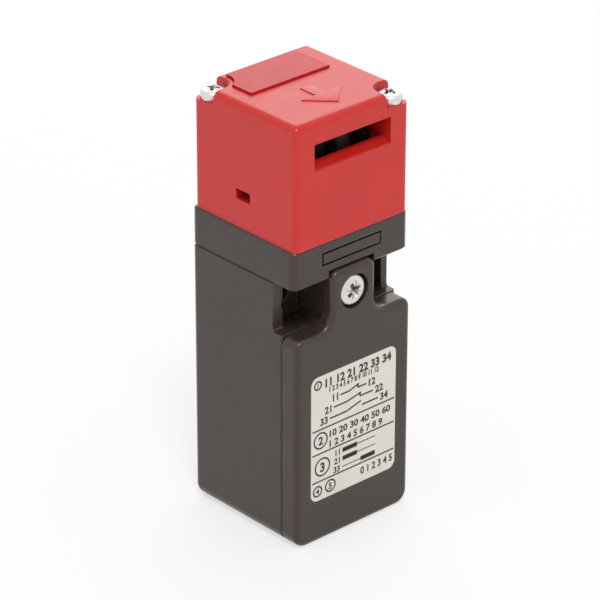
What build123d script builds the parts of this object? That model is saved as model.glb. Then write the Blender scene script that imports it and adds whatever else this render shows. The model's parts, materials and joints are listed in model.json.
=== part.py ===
from build123d import *
import math
import os

# Key-operated safety switch: red head with a cam wheel, black body with a contact block.
# Millimetres, +Z up. The label side faces -Y. The origin is the middle of the base.

# Overall sizes
body_width = 31.0
total_depth = 31.6
total_height = 93.4
front_y = -total_depth / 2
back_y = total_depth / 2
half_body = body_width / 2

# Levels of the outside, from the top down
head_height = 26.8
collar_height = 8.4
notch_height = 10.8
collar_top_z = total_height - head_height
collar_bottom_z = collar_top_z - collar_height
shoulder_z = collar_bottom_z - notch_height

# Clearances
running_gap = 0.05
body_gap = 0.3
snug_gap = 0.1
seam_chamfer = 0.4

# Front cover
cover_flange_depth = 4.6
cover_wall = 2.2
cover_lip = 1.25
cover_front_radius = 1.2
base_corner_radius = 3.0
shoulder_corner_radius = 2.0
tongue_width = 11.6
tongue_overlap = 1.5
tongue_top_z = collar_bottom_z + tongue_overlap
tongue_thickness = 3.0
tongue_fillet = 3.6
tongue_corner_radius = 1.9
cover_hook_width = 8.0
cover_hook_thickness = 1.4
cover_hook_reach = 1.3
seam_y = front_y + cover_flange_depth
cover_gasket_width = 0.8
cover_gasket_thickness = 1.1

# Label
label_side_margin = 3.9
label_top_margin = 9.4
label_bottom_z = 9.6
label_width = body_width - 2 * label_side_margin
label_height = shoulder_z - label_top_margin - label_bottom_z
label_corner_radius = 1.8
label_thickness = 0.18
label_recess = 0.2

# Cover screw
cover_screw_rise = 6.6
cover_screw_z = shoulder_z + cover_screw_rise
cover_screw_turn = 35.0
cover_screw_head_radius = 3.45
cover_screw_head_height = 1.85
cover_screw_radius = 1.95
cover_counterbore_radius = 3.75
cover_counterbore_depth = 1.9
cover_screw_hole_radius = 2.2
screw_insert_radius = 2.9
screw_insert_wall = 1.9
retainer_radius = 3.1
retainer_thickness = 0.8

# Body
body_wall = 2.2
body_back_wall = 2.4
body_corner_radius = 1.5
notch_depth = 7.2
notch_back_y = front_y + notch_depth
notch_floor_radius = 0.6
notch_left_wall = 2.7
notch_right_wall = 1.6
notch_pocket_depth = 4.0
shoulder_wall = 2.0
cavity_top_z = shoulder_z - shoulder_wall
column_width = 10.8
chamber_width = 9.2
chamber_front = 4.6
chamber_back = 6.0
chamber_roof = 1.2
chamber_top_z = collar_bottom_z - chamber_roof

# Cable entry, bored to the outside radius of its M20 thread
entry_radius = 10.0
entry_depth = 8.0
entry_y = 0.8
entry_chamfer = 0.5

# Mounting slots
slot_edge = 5.0
slot_rise = 5.2
slot_width = 4.3
slot_length = 5.3
slot_x = half_body - slot_edge
slot_z = shoulder_z + slot_rise

# Collar
collar_setback = 0.95
collar_front_y = front_y + collar_setback
collar_corner_radius = 1.6
collar_edge = 0.35
collar_groove = 0.45
collar_groove_depth = 1.0
collar_bar_length = 15.0
collar_bar_height = 2.05
collar_lip_height = 1.5
tongue_top_gap = 0.4
collar_lip_bottom_z = tongue_top_z + tongue_top_gap
collar_bar_bottom_z = collar_lip_bottom_z + collar_lip_height + collar_groove

# Head
head_step = 0.45
head_width = body_width - 2 * head_step
head_y = 0.15
head_corner_radius = 1.3
head_top_radius = 1.5
head_side_wall = 3.0
head_end_wall = 3.4
head_top_wall = 3.0
head_screw_edge = 2.8
head_screw_offset = head_width / 2 - head_screw_edge
head_screw_turn = 20.0
head_screw_column_radius = 3.6
pocket_radius = 3.25
pocket_depth = 3.1

# Head screws
head_screw_radius = 1.45
head_screw_head_radius = 2.65
head_screw_head_height = 2.3
head_screw_hole_radius = 1.6
head_screw_engagement = 5.0
head_insert_radius = 2.1
head_insert_length = 5.4
recess_bar_width = 0.75
recess_reach_share = 1.25
recess_depth_share = 0.55
head_round_share = 0.45
shank_chamfer_share = 0.3

# Key slots
key_slot_wall = 0.5
key_slot_width = 2 * (head_screw_offset - head_screw_hole_radius - key_slot_wall)
key_slot_height = 5.8
key_slot_drop = 7.7
key_slot_z = total_height - key_slot_drop
key_offset = 5.9
window_width = 4.2
window_height = 2.3
window_rise = 7.2
window_z = collar_top_z + window_rise
window_y_shift = 0.4

# Plug over the unused top slot
plug_left_overlap = 0.55
plug_right_overlap = 0.1
plug_front_overlap = 0.3
plug_back_overlap = 4.4
plug_recess = 0.9
plug_proud = 0.45
plug_gap = 0.14
plug_skirt = 1.9
plug_skirt_wall = 1.2
plug_pocket_gap = 0.75

# Round spigot that lets the head turn in quarter steps
spigot_radius = 10.6
spigot_wall = 1.7
spigot_depth = 2.8
spigot_gap = 0.15
gasket_thickness = 0.6

# Cage that carries the cam
cage_gap = 0.15
cage_floor = 2.4
cage_cheek = 1.5
cage_cheek_width = 14.0
cage_cheek_rise = 4.3
cage_lug_reach = 1.0
cage_lug_gap = 0.25
axle_radius = 1.5

# Cam wheel
cam_radius = 7.8
cam_hub_radius = 3.1
cam_disc_thickness = 3.4
cam_disc_inner_x = 3.0
cam_track_width = 5.2
cam_track_radius = 7.4
cam_notch_width = 4.6
cam_notch_depth = 3.6
cam_notch_lead = 20.0
cam_turn = 50.0
cam_margin = 9.0
cam_base_radius = 4.3

# Push rod, its travel and its guide
rod_travel = 2.6
rod_radius = 2.5
nose_radius = 1.25
nose_width = 4.4
rod_foot_radius = 3.4
rod_foot_height = 1.2
rod_foot_lift = 0.4
rod_tail_radius = 1.5
rod_tail_length = 2.6
rod_top_fillet = 0.4
guide_radius = 4.1
guide_length = 7.2
guide_flange_radius = 6.0
guide_flange = 1.2
seal_radius = 4.6
seal_height = 1.5

# Contact block
block_bottom_z = 12.4
block_side_gap = 0.5
block_floor = 1.0
contact_pitch = 10.0
contact_roof = 2.4
contact_foot = 10.5
carrier_width = 8.0
carrier_thickness = 5.2
carrier_fillet = 0.5
return_spring_height = 2.0
ear_height = 4.5
ear_thickness = 5.7
land_half_width = 6.6
retainer_plate = 1.2
barrier_thickness = 1.2
barrier_reach = 2.6

# Contacts and terminals
strip_thickness = 1.0
strip_inner_x = 4.6
strip_side_gap = 0.4
strip_drop = 5.4
tip_radius = 0.95
tip_height = 0.7
bridge_thickness = 0.9
bridge_half_length = 6.5
bridge_width = 3.2
bridge_tip_height = 0.6
closed_gap = 0.1
contact_spring_height = 2.6
terminal_screw_drop = 2.5
terminal_screw_length = 7.0
terminal_head_height = 2.0
terminal_head_step = 1.0
clamp_side_gap = 0.3
clamp_head_gap = 0.2
clamp_thickness = 0.9
clamp_lip = 0.8
block_screw_edge = 2.4
block_screw_tip_gap = 0.5
block_screw_radius = 1.25
block_screw_head_radius = 1.9
block_screw_head_height = 1.5
block_screw_length = 13.0
post_radius = 2.7
post_seat = 0.8

# Springs
spring_wire_radius = 0.28
contact_spring_radius = 1.15
contact_spring_turns = 3
return_spring_wire_radius = 0.35
return_spring_radius = 1.8
return_spring_turns = 3

# Derived places
big = 4 * total_height
collar_depth = back_y - collar_front_y
collar_mid_y = (back_y + collar_front_y) / 2
tongue_back_y = front_y + tongue_thickness
inner_back_y = back_y - body_back_wall
inner_half = half_body - body_wall
rod_y = head_y
cam_z = key_slot_z - key_offset
top_slot_y = rod_y + key_offset
head_front_y = head_y - head_width / 2
head_back_y = head_y + head_width / 2
head_cavity_front_y = head_front_y + head_end_wall
head_cavity_back_y = head_back_y - head_end_wall
head_cavity_half = head_width / 2 - head_side_wall
head_cavity_top_z = total_height - head_top_wall
recess_floor_z = collar_top_z - spigot_depth - gasket_thickness
spigot_end_z = collar_top_z - spigot_depth
guide_bottom_z = recess_floor_z - guide_length
cage_cheek_top_z = cam_z + cage_cheek_rise
half_key_slot = key_slot_width / 2
plug_left_x = -half_key_slot - plug_left_overlap
plug_right_x = half_key_slot + plug_right_overlap
plug_front_y = top_slot_y - key_slot_height / 2 - plug_front_overlap
plug_back_y = top_slot_y + key_slot_height / 2 + plug_back_overlap
insert_start_y = tongue_back_y + retainer_thickness + running_gap
insert_end_y = rod_y - guide_radius - screw_insert_wall
screw_seat_z = total_height - pocket_depth
carrier_front_y = rod_y - carrier_thickness / 2
block_front_y = carrier_front_y - body_gap
channel_back_y = rod_y + carrier_thickness / 2 + body_gap
channel_half = carrier_width / 2 + body_gap
strip_back_y = block_front_y + strip_thickness
clamp_front_y = block_front_y - clamp_lip - clamp_thickness
rest_tip_z = cam_z - cam_track_radius - body_gap
head_screws_at = [
    (head_screw_offset, head_y - head_screw_offset),
    (-head_screw_offset, head_y + head_screw_offset),
]
block_half = inner_half - block_side_gap
block_screw_x = block_half - block_screw_edge
block_screw_z = block_bottom_z + ear_height / 2
terminal_space = block_half - land_half_width
terminal_x = land_half_width + terminal_space / 2
strip_outer_x = block_half - strip_side_gap
clamp_size = terminal_space - 2 * clamp_side_gap
terminal_head_radius = clamp_size / 2 - clamp_head_gap
terminal_screw_radius = terminal_head_radius - terminal_head_step
carrier_top_z = cavity_top_z + rod_foot_lift
carrier_bottom_z = block_bottom_z + block_floor + return_spring_height
tip_x = strip_inner_x + tip_radius + running_gap

# As many contacts as the block has room for. The lowest opens as the others close.
top_contact_z = cavity_top_z - contact_roof
contact_room = top_contact_z - block_bottom_z - contact_foot
contact_count = 1 + int(contact_room / contact_pitch)
closed_levels = [top_contact_z - i * contact_pitch for i in range(contact_count - 1)]
open_level = top_contact_z - (contact_count - 1) * contact_pitch - 2 * terminal_screw_drop
make_drop = tip_height + closed_gap + bridge_tip_height


def box(x0, x1, y0, y1, z0, z1):
    centre = ((x0 + x1) / 2, (y0 + y1) / 2, (z0 + z1) / 2)
    return Pos(*centre) * Box(abs(x1 - x0), abs(y1 - y0), abs(z1 - z0))


def rod_z(x, y, z0, z1, radius):
    return Pos(x, y, (z0 + z1) / 2) * Cylinder(radius, abs(z1 - z0))


def rod_along_y(x, z, y0, y1, radius):
    return Pos(x, (y0 + y1) / 2, z) * Rot(90, 0, 0) * Cylinder(radius, abs(y1 - y0))


def rod_along_x(y, z, x0, x1, radius):
    return Pos((x0 + x1) / 2, y, z) * Rot(0, 90, 0) * Cylinder(radius, abs(x1 - x0))


def rounded_prism(width, depth, radius, x, y, z0, z1):
    return Pos(x, y, z0) * extrude(RectangleRounded(width, depth, radius), z1 - z0)


def cross_recess(head_radius, depth):
    bar = Box(head_radius * recess_reach_share, recess_bar_width, depth)
    return bar + Rot(0, 0, 90) * bar


def pan_screw(head_radius, head_height, shank_radius, shank_length):
    # The seat lies at z = 0, the head stands above it and the shank hangs below it.
    head = Pos(0, 0, head_height / 2) * Cylinder(head_radius, head_height)
    head = fillet(head.edges().group_by(Axis.Z)[-1], head_height * head_round_share)
    depth = head_height * recess_depth_share
    head -= Pos(0, 0, head_height - depth / 2) * cross_recess(head_radius, depth)
    shank = Pos(0, 0, -shank_length / 2) * Cylinder(shank_radius, shank_length)
    shank = chamfer(shank.edges().group_by(Axis.Z)[0], shank_radius * shank_chamfer_share)
    return head + shank


def coil(radius, wire_radius, turns, z0, z1):
    height = z1 - z0 - 2 * wire_radius
    path = Pos(0, 0, z0 + wire_radius) * Helix(height / turns, height, radius)
    wire = Plane(origin=path @ 0, z_dir=path % 0) * Circle(wire_radius)
    return sweep(wire, path=path)


def head_outline_pocket(x, y):
    # Round pocket for a screw head, open to the corner of the head.
    outward_x = math.copysign(1, x)
    outward_y = math.copysign(1, y - head_y)
    far_x = x + outward_x * head_width
    far_y = y + outward_y * head_width
    top = total_height + 1
    pocket = rod_z(x, y, screw_seat_z, top, pocket_radius)
    pocket += box(x, far_x, y - pocket_radius, y + pocket_radius, screw_seat_z, top)
    pocket += box(x - pocket_radius, x + pocket_radius, y, far_y, screw_seat_z, top)
    pocket += box(x, far_x, y, far_y, screw_seat_z, top)
    return pocket


def head_screw_column(x, y, radius, z0, z1):
    # Solid corner that a head screw passes through.
    outward_x = math.copysign(1, x)
    outward_y = math.copysign(1, y - head_y)
    column = rod_z(x, y, z0, z1, radius)
    column += box(x, x + outward_x * radius, y - radius, y + radius, z0, z1)
    column += box(x - radius, x + radius, y, y + outward_y * radius, z0, z1)
    return column


def head_cavity(shrink, z0, z1):
    half = head_cavity_half - shrink
    cavity = box(-half, half, head_cavity_front_y + shrink, head_cavity_back_y - shrink, z0, z1)
    for x, y in head_screws_at:
        cavity -= head_screw_column(x, y, head_screw_column_radius + shrink, z0 - 1, z1 + 1)
    return cavity


def plug_outline(gap, z0, z1):
    plate = box(plug_left_x + gap, plug_right_x - gap, plug_front_y + gap, plug_back_y - gap, z0, z1)
    for x, y in head_screws_at:
        plate -= rod_z(x, y, z0 - 1, z1 + 1, pocket_radius + plug_pocket_gap + gap)
    return plate


def make_head_housing():
    head = rounded_prism(head_width, head_width, head_corner_radius, 0, head_y, collar_top_z, total_height)
    head = fillet(head.edges().group_by(Axis.Z)[-1], head_top_radius)
    head -= head_cavity(0, collar_top_z - 1, head_cavity_top_z)
    half_height = key_slot_height / 2
    head -= box(-half_key_slot, half_key_slot, head_front_y - 1, rod_y, key_slot_z - half_height,
                key_slot_z + half_height)
    head -= box(-half_key_slot, half_key_slot, top_slot_y - half_height, top_slot_y + half_height,
                collar_top_z + cage_floor, total_height + 1)
    head -= plug_outline(0, total_height - plug_recess, total_height + 1)
    for x, y in head_screws_at:
        head -= head_outline_pocket(x, y)
        head -= rod_z(x, y, collar_top_z - 1, total_height, head_screw_hole_radius)
    window = (window_y_shift + rod_y - window_width / 2, window_y_shift + rod_y + window_width / 2)
    head -= box(-big, big, window[0], window[1], window_z - window_height / 2, window_z + window_height / 2)
    return head


def make_top_slot_plug():
    plate = plug_outline(plug_gap, total_height - plug_recess, total_height + plug_proud)
    half_slot = half_key_slot - plug_gap
    half_height = key_slot_height / 2 - plug_gap
    skirt_top = total_height - plug_recess
    skirt = box(-half_slot, half_slot, top_slot_y - half_height, top_slot_y + half_height,
                skirt_top - plug_skirt, skirt_top)
    inner_slot = half_slot - plug_skirt_wall
    inner_height = half_height - plug_skirt_wall
    skirt -= box(-inner_slot, inner_slot, top_slot_y - inner_height, top_slot_y + inner_height,
                 skirt_top - plug_skirt - 1, skirt_top)
    return plate + skirt


def make_head_screws():
    shank = screw_seat_z - collar_top_z + head_screw_engagement
    screw = pan_screw(head_screw_head_radius, head_screw_head_height, head_screw_radius, shank)
    return [Pos(x, y, screw_seat_z) * Rot(0, 0, head_screw_turn) * screw for x, y in head_screws_at]


def insert_places():
    return [(sx * head_screw_offset, head_y + sy * head_screw_offset) for sx in (-1, 1) for sy in (-1, 1)]


def make_head_screw_inserts():
    inserts = []
    for x, y in insert_places():
        sleeve = rod_z(x, y, collar_top_z - head_insert_length, collar_top_z, head_insert_radius)
        sleeve -= rod_z(x, y, collar_top_z - head_insert_length - 1, collar_top_z + 1,
                        head_screw_radius + running_gap)
        inserts.append(sleeve)
    return inserts


def make_cam_cage():
    # Base plate with the round spigot below it and two cheeks that hold the axle.
    floor_top = collar_top_z + cage_floor
    cage = head_cavity(cage_gap, collar_top_z, floor_top)
    cage += rod_z(0, head_y, spigot_end_z, collar_top_z, spigot_radius)
    cage -= rod_z(0, head_y, spigot_end_z - 1, collar_top_z, spigot_radius - spigot_wall)
    cage -= rod_z(0, rod_y, collar_top_z - 1, floor_top + 1, rod_radius + body_gap)
    outer = head_cavity_half - cage_gap
    half_window = window_width / 2 - cage_lug_gap
    lug_y = rod_y + window_y_shift
    lug_z = window_height / 2 - cage_lug_gap
    for side in (-1, 1):
        cheek = box(side * (outer - cage_cheek), side * outer, rod_y - cage_cheek_width / 2,
                    rod_y + cage_cheek_width / 2, collar_top_z, cage_cheek_top_z)
        top_edges = cheek.edges().filter_by(Axis.X).group_by(Axis.Z)[-1]
        cage += fillet(top_edges, cage_cheek_width / 4)
        cage += box(side * (outer - cage_cheek / 2), side * (outer + cage_lug_reach), lug_y - half_window,
                    lug_y + half_window, window_z - lug_z, window_z + lug_z)
    cage -= rod_along_x(rod_y, cam_z, -big, big, axle_radius)
    # Room for the wheel, where the floor comes near it in a lower head.
    between = outer - cage_cheek
    cage -= rod_along_x(rod_y, cam_z, -between, between, cam_radius + body_gap)
    return cage


def make_cam_axle():
    end = head_cavity_half - cage_gap
    axle = rod_along_x(rod_y, cam_z, -end, end, axle_radius)
    return chamfer(axle.edges(), axle_radius * 0.2)


def cam_track_outline():
    # The nose centre follows a spiral whose radius falls in proportion to the angle.
    # The track is that path moved inwards by the nose radius and the gap.
    reach = cam_track_radius + body_gap + nose_radius
    slope = rod_travel / math.radians(cam_turn)
    start = -cam_margin
    stop = cam_turn + cam_margin
    count = 13
    points = []
    for i in range(count):
        turned = math.radians(start + (stop - start) * i / (count - 1))
        angle = turned - math.pi / 2
        radius = reach - slope * turned
        tangent_y = -slope * math.cos(angle) - radius * math.sin(angle)
        tangent_z = -slope * math.sin(angle) + radius * math.cos(angle)
        length = math.hypot(tangent_y, tangent_z)
        inward_y = -tangent_z / length
        inward_z = tangent_y / length
        shift = nose_radius + body_gap
        track_y = radius * math.cos(angle) + inward_y * shift
        track_z = radius * math.sin(angle) + inward_z * shift
        points.append((track_y, track_z))
    return points


def make_cam_wheel():
    # Drawn in the plane of the wheel, with local x along the row's +Y and local y along +Z.
    wheel_plane = Plane(origin=(0, rod_y, cam_z), x_dir=(0, 1, 0), z_dir=(1, 0, 0))
    points = cam_track_outline()
    rim = Spline(*points)
    lobe = make_face(rim + Line(points[-1], (0, 0)) + Line((0, 0), points[0]))
    track = Sketch() + Circle(cam_base_radius) + lobe
    disc = Sketch() + Circle(cam_radius)
    notch = Pos(cam_radius, 0) * RectangleRounded(2 * cam_notch_depth, cam_notch_width, cam_notch_width * 0.3)
    for entry in (90, 0):
        disc -= Rot(0, 0, entry + cam_notch_lead) * notch
    hub_half = head_cavity_half - cage_gap - cage_cheek - body_gap
    wheel = extrude(wheel_plane * track, cam_track_width / 2, both=True)
    wheel += extrude(wheel_plane * Circle(cam_hub_radius), hub_half, both=True)
    plate = extrude(wheel_plane * disc, cam_disc_thickness)
    plate = chamfer(plate.edges().filter_by(GeomType.CIRCLE).sort_by(SortBy.RADIUS)[-4:], 0.35)
    wheel += Pos(cam_disc_inner_x, 0, 0) * plate
    wheel += Pos(-cam_disc_inner_x - cam_disc_thickness, 0, 0) * plate
    wheel -= rod_along_x(rod_y, cam_z, -big, big, axle_radius + running_gap)
    return wheel


def make_push_rod():
    nose_z = rest_tip_z - nose_radius
    rod = rod_z(0, rod_y, carrier_top_z, nose_z - 1.5 * nose_radius, rod_radius)
    rod = fillet(rod.edges().group_by(Axis.Z)[-1], rod_top_fillet)
    rod += rod_z(0, rod_y, carrier_top_z, carrier_top_z + rod_foot_height, rod_foot_radius)
    rod += rod_z(0, rod_y, carrier_top_z - rod_tail_length, carrier_top_z, rod_tail_radius)
    half = nose_width / 2
    nose = rod_along_x(rod_y, nose_z, -half, half, nose_radius)
    nose += box(-half, half, rod_y - nose_radius, rod_y + nose_radius, nose_z - 2 * nose_radius, nose_z)
    return rod + nose


def make_rod_guide():
    guide = rod_z(0, rod_y, guide_bottom_z, recess_floor_z, guide_radius)
    guide += rod_z(0, rod_y, recess_floor_z - guide_flange, recess_floor_z, guide_flange_radius)
    guide -= rod_z(0, rod_y, guide_bottom_z - 1, recess_floor_z + 1, rod_radius + running_gap)
    return guide


def make_rod_seal():
    inner = rod_radius + running_gap
    profile = Polyline((inner, 0), (seal_radius, 0), (seal_radius, seal_height * 0.4),
                       (inner + 0.6, seal_height), (inner, seal_height), close=True)
    ring = revolve(Plane.XZ * make_face(profile), Axis.Z)
    return Pos(0, rod_y, recess_floor_z) * ring


def make_head_gasket():
    ring = rod_z(0, head_y, recess_floor_z, spigot_end_z, spigot_radius)
    return ring - rod_z(0, head_y, recess_floor_z - 1, spigot_end_z + 1, spigot_radius - spigot_wall)


def side_notch(side):
    # Space beside the tongue that opens to the front and to the side.
    inner = side * column_width / 2
    outer = side * body_width
    notch = box(inner, outer, front_y - 5, notch_back_y, shoulder_z, collar_bottom_z + 1)
    edges = notch.edges().filter_by(Axis.X).group_by(Axis.Z)[0].sort_by(Axis.Y)
    notch = fillet(edges[-1], notch_floor_radius)
    # A deeper pocket behind it leaves a rim along the side of the body.
    wall = notch_left_wall if side < 0 else notch_right_wall
    notch += box(inner, side * (half_body - wall), notch_back_y - 1, notch_back_y + notch_pocket_depth,
                 shoulder_z, collar_bottom_z + 1)
    return notch


def make_body_collar():
    collar = rounded_prism(body_width, collar_depth, collar_corner_radius, 0, collar_mid_y,
                           collar_bottom_z, collar_top_z)
    collar = chamfer(collar.edges().group_by(Axis.Z)[-1], collar_edge)
    collar = chamfer(collar.edges().group_by(Axis.Z)[0], seam_chamfer)
    half_tongue = tongue_width / 2 + body_gap
    collar -= box(-half_tongue, half_tongue, front_y - 1, tongue_back_y, collar_bottom_z - 1,
                  collar_lip_bottom_z)
    # A groove runs round a bar that stays level with the face.
    half_bar = collar_bar_length / 2
    bar_top_z = collar_bar_bottom_z + collar_bar_height
    groove = box(-half_bar - collar_groove, half_bar + collar_groove, collar_front_y - 1,
                 collar_front_y + collar_groove_depth, collar_bar_bottom_z - collar_groove,
                 bar_top_z + collar_groove)
    groove -= box(-half_bar, half_bar, collar_front_y - 2, collar_front_y + collar_groove_depth + 1,
                  collar_bar_bottom_z, bar_top_z)
    collar -= groove
    collar -= rod_z(0, rod_y, collar_bottom_z - 1, collar_top_z + 1, guide_radius)
    collar -= rod_z(0, rod_y, recess_floor_z - guide_flange, collar_top_z + 1, guide_flange_radius)
    collar -= rod_z(0, head_y, recess_floor_z, collar_top_z + 1, spigot_radius + spigot_gap)
    for x, y in insert_places():
        collar -= rod_z(x, y, collar_top_z - head_insert_length, collar_top_z + 1, head_insert_radius)
    return collar


def make_body_housing():
    body = box(-half_body, half_body, seam_y, back_y, 0, collar_bottom_z)
    body = fillet(body.edges().filter_by(Axis.Y).group_by(Axis.Z)[0], base_corner_radius)
    body = fillet(body.edges().filter_by(Axis.Z).group_by(Axis.Y)[-1], body_corner_radius)
    front_edges = body.faces().sort_by(Axis.Y)[0].edges().sort_by(Axis.Z)[:-1]
    top_edges = body.faces().sort_by(Axis.Z)[-1].edges().sort_by(Axis.Y)[1:]
    body = chamfer(front_edges + top_edges, seam_chamfer)
    for side in (-1, 1):
        body -= side_notch(side)
    half_column = column_width / 2
    body += box(-half_column, half_column, tongue_back_y, seam_y + 1, shoulder_z + snug_gap, collar_bottom_z)
    cavity = box(-inner_half, inner_half, seam_y - 1, inner_back_y, entry_depth, cavity_top_z)
    body -= cavity
    for side in (-1, 1):
        body -= rod_along_y(side * block_screw_x, block_screw_z, inner_back_y - 1, inner_back_y + post_seat,
                            post_radius)
    half_chamber = chamber_width / 2
    body -= box(-half_chamber, half_chamber, rod_y - chamber_front, rod_y + chamber_back, cavity_top_z - 1,
                chamber_top_z)
    body -= rod_z(0, rod_y, chamber_top_z - 1, collar_bottom_z + 1, guide_radius)
    body -= rod_along_y(0, cover_screw_z, tongue_back_y - 1, insert_end_y, screw_insert_radius)
    body -= rod_along_y(0, cover_screw_z, tongue_back_y - 1, insert_start_y, retainer_radius + running_gap)
    half_hook = cover_hook_width / 2 + snug_gap
    body -= box(-half_hook, half_hook, seam_y - 1, seam_y + cover_hook_reach + snug_gap,
                cover_wall - snug_gap, cover_wall + cover_hook_thickness + snug_gap)
    body -= rod_z(0, entry_y, -1, entry_depth + 1, entry_radius)
    mouth = Cone(entry_radius + entry_chamfer, entry_radius, entry_chamfer)
    body -= Pos(0, entry_y, entry_chamfer / 2) * mouth
    slot = SlotOverall(slot_length, slot_width)
    for side in (-1, 1):
        hole = extrude(Plane(origin=(side * slot_x, back_y + 1, slot_z), x_dir=(1, 0, 0),
                             z_dir=(0, -1, 0)) * slot, total_depth + 2)
        body -= hole
    return body


def cover_outline():
    # Front view of the cover: two shoulders with the screw tongue between them.
    half = half_body
    tongue = tongue_width / 2
    points = [(-half, 0), (half, 0), (half, shoulder_z), (tongue, shoulder_z),
              (tongue, tongue_top_z), (-tongue, tongue_top_z),
              (-tongue, shoulder_z), (-half, shoulder_z)]
    face = make_face(Polyline(*points, close=True))
    rounds = [(half, 0, base_corner_radius), (half, shoulder_z, shoulder_corner_radius),
              (tongue, shoulder_z, tongue_fillet),
              (tongue, tongue_top_z, tongue_corner_radius)]
    for x, z, radius in rounds:
        pair = [v for v in face.vertices() if abs(abs(v.X) - x) < 1e-3 and abs(v.Y - z) < 1e-3]
        face = fillet(pair, radius)
    return face


def front_plane(y):
    # Sketches drawn here have local x along +X and local y along +Z, and extrude towards -Y.
    return Plane(origin=(0, y, 0), x_dir=(1, 0, 0), z_dir=(0, -1, 0))


def make_front_cover():
    cover = extrude(front_plane(seam_y) * cover_outline(), cover_flange_depth)
    cover = fillet(cover.faces().sort_by(Axis.Y)[0].edges(), cover_front_radius)
    cover = chamfer(cover.faces().sort_by(Axis.Y)[-1].edges(), seam_chamfer)
    behind = box(-half_body, half_body, tongue_back_y, seam_y + 1, shoulder_z, big)
    cover -= behind
    wall = cover_wall
    inner = RectangleRounded(body_width - 2 * wall, shoulder_z - 2 * wall, base_corner_radius - wall / 2)
    mid_z = shoulder_z / 2
    cover -= extrude(front_plane(seam_y + 1) * (Pos(0, mid_z) * inner), cover_flange_depth - wall + 1)
    lip = cover_lip
    wide = RectangleRounded(body_width - 2 * lip, shoulder_z - 2 * lip, base_corner_radius - lip / 2)
    cover -= extrude(front_plane(seam_y + 1) * (Pos(0, mid_z) * wide), cover_gasket_thickness + 1)
    half_hook = cover_hook_width / 2
    cover += box(-half_hook, half_hook, front_y + wall, seam_y + cover_hook_reach, wall,
                 wall + cover_hook_thickness)
    label_z = label_bottom_z + label_height / 2
    recess = RectangleRounded(label_width + 2 * snug_gap, label_height + 2 * snug_gap,
                              label_corner_radius + snug_gap)
    cover -= extrude(front_plane(front_y + label_recess) * (Pos(0, label_z) * recess), 2)
    cover -= rod_along_y(0, cover_screw_z, front_y - 1, tongue_back_y + 1, cover_screw_hole_radius)
    cover -= rod_along_y(0, cover_screw_z, front_y - 1, front_y + cover_counterbore_depth,
                         cover_counterbore_radius)
    return cover


def make_cover_gasket():
    lip = cover_lip + running_gap
    outer = RectangleRounded(body_width - 2 * lip, shoulder_z - 2 * lip, base_corner_radius - lip / 2)
    inner_edge = lip + cover_gasket_width
    inner = RectangleRounded(body_width - 2 * inner_edge, shoulder_z - 2 * inner_edge,
                             base_corner_radius - inner_edge / 2)
    ring = extrude(front_plane(seam_y) * (Pos(0, shoulder_z / 2) * (outer - inner)), cover_gasket_thickness)
    half_hook = cover_hook_width / 2 + snug_gap
    hook_top = cover_wall + cover_hook_thickness + snug_gap
    return ring - box(-half_hook, half_hook, front_y, seam_y + 1, cover_wall - snug_gap, hook_top)


def make_label_plate():
    label_z = label_bottom_z + label_height / 2
    plate = RectangleRounded(label_width, label_height, label_corner_radius)
    return extrude(front_plane(front_y + label_recess) * (Pos(0, label_z) * plate), label_thickness)


def make_cover_screw():
    seat = front_y + cover_counterbore_depth
    length = insert_end_y - seat - running_gap
    screw = pan_screw(cover_screw_head_radius, cover_screw_head_height, cover_screw_radius, length)
    return Pos(0, seat, cover_screw_z) * Rot(90, 0, 0) * Rot(0, 0, cover_screw_turn) * screw


def make_cover_screw_retainer():
    end = tongue_back_y + retainer_thickness
    ring = rod_along_y(0, cover_screw_z, tongue_back_y, end, retainer_radius)
    return ring - rod_along_y(0, cover_screw_z, tongue_back_y - 1, end + 1, cover_screw_radius)


def make_cover_screw_insert():
    insert = rod_along_y(0, cover_screw_z, insert_start_y, insert_end_y, screw_insert_radius)
    return insert - rod_along_y(0, cover_screw_z, insert_start_y - 1, insert_end_y + 1,
                                cover_screw_radius + running_gap)


def contact_levels():
    # Each entry gives the strip's level, the way its leg hangs and the bridge's way to it.
    levels = [(z, -1) for z in closed_levels]
    return levels + [(open_level, 1)]


def terminal_z(level, leg):
    return level + leg * terminal_screw_drop


def strip_solid(level, leg, side):
    # Bent strip: a flat tongue under the bridge and a leg behind the terminal clamp.
    y_tongue = rod_y + bridge_width / 2
    outer_z = level - leg * strip_thickness
    leg_end = level + leg * strip_drop
    points = [(block_front_y, outer_z), (y_tongue, outer_z), (y_tongue, level),
              (strip_back_y, level), (strip_back_y, leg_end), (block_front_y, leg_end)]
    profile = make_face(Polyline(*points, close=True))
    bend = [v for v in profile.vertices() if abs(v.X - block_front_y) < 1e-3 and abs(v.Y - outer_z) < 1e-3]
    profile = fillet(bend, strip_thickness * 0.8)
    plane = Plane(origin=(side * land_half_width, 0, 0), x_dir=(0, 1, 0), z_dir=(1, 0, 0))
    strip = extrude(plane * profile, side * (strip_outer_x - land_half_width))
    strip += box(side * strip_inner_x, side * land_half_width, rod_y - bridge_width / 2, y_tongue,
                 min(level, outer_z), max(level, outer_z))
    return strip


def make_fixed_contacts():
    strips = []
    for level, leg in contact_levels():
        for side in (-1, 1):
            z = terminal_z(level, leg)
            hole = rod_along_y(side * terminal_x, z, block_front_y - 1, strip_back_y + 1,
                               terminal_screw_radius + running_gap)
            strips.append(strip_solid(level, leg, side) - hole)
    return strips


def make_fixed_tips():
    tips = []
    for level, leg in contact_levels():
        for side in (-1, 1):
            tips.append(rod_z(side * tip_x, rod_y, level, level + leg * tip_height, tip_radius))
    return tips


def bridge_places():
    # Rest place of each bridge face that carries tips, with the way the tips point.
    places = [(z - make_drop - rod_travel, 1) for z in closed_levels]
    return places + [(open_level + make_drop, -1)]


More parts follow.
